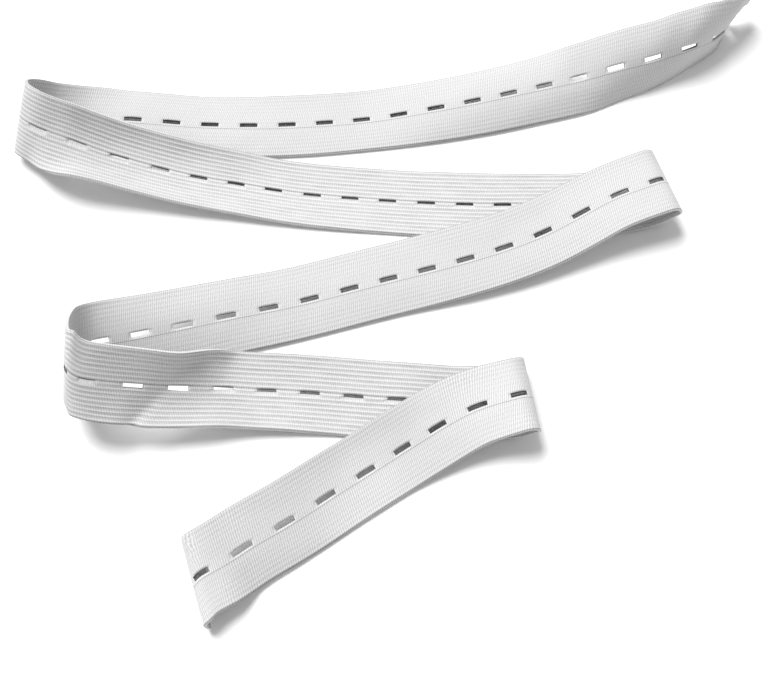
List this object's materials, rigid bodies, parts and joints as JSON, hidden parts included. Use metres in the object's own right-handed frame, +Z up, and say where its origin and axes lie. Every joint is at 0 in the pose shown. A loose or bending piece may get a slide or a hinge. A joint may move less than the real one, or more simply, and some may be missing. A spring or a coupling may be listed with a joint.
{
  "type": "buttonhole elastic",
  "caption": "Loose length of white woven elastic with a row of buttonhole slits down its middle, lying in a zigzag of flat strands and open loops.",
  "frame": {"origin": "centre of the bounding box in plan, on the surface it lies on", "axes": "+X to the right along the strands, +Y away from the viewer, +Z up"},
  "size_m": [0.192, 0.1675, 0.0228],
  "materials": {
    "woven_elastic": "matte"
  },
  "bodies": {
    "root": {"elastic_band": "woven_elastic"}
  },
  "joints": []
}
